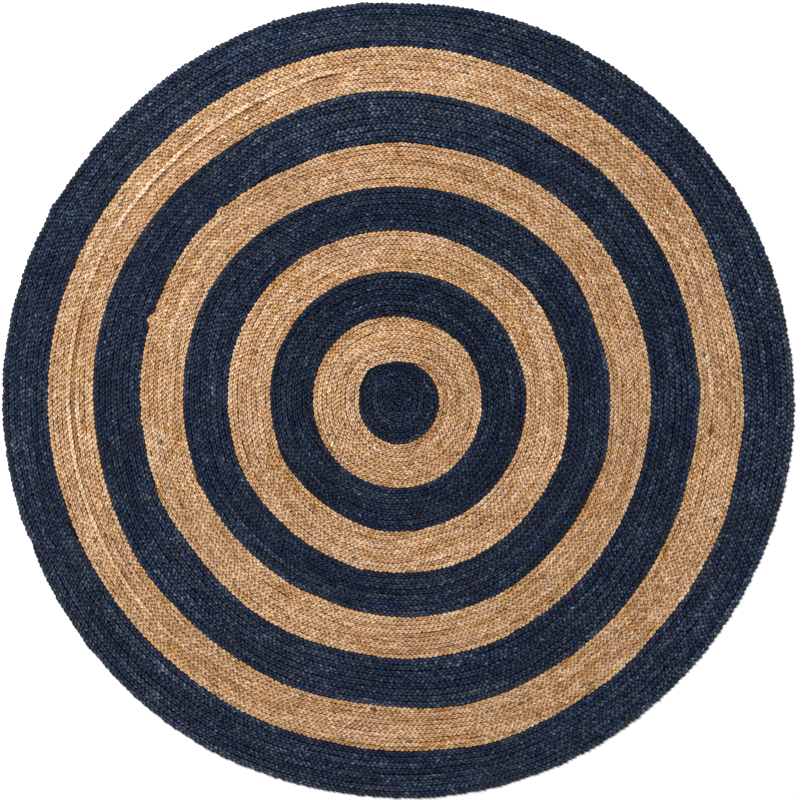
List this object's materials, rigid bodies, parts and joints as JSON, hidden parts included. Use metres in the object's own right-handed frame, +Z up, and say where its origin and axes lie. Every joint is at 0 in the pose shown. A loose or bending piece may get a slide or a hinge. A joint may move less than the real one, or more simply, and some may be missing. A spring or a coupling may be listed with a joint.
{
  "type": "round braided jute rug",
  "caption": "Flat round rug wound from plaited jute braid in navy and natural rings, sewn edge to edge, that lies flat on a floor.",
  "frame": {"origin": "middle of the rug on its flat underside, level with the floor", "axes": "+Z up through the rug, +Y towards the top of the picture and +X towards its right"},
  "size_m": [1.4988, 1.5078, 0.008],
  "materials": {
    "navy_jute": "matt dyed jute plait",
    "natural_jute": "matt undyed jute plait"
  },
  "bodies": {
    "root": {"centre_coil_navy": "navy_jute", "ring_1_natural": "natural_jute", "ring_2_navy": "navy_jute", "ring_3_natural": "natural_jute", "ring_4_navy": "navy_jute", "ring_5_natural": "natural_jute", "ring_6_navy": "navy_jute", "ring_7_natural": "natural_jute", "ring_8_navy": "navy_jute"}
  },
  "joints": []
}
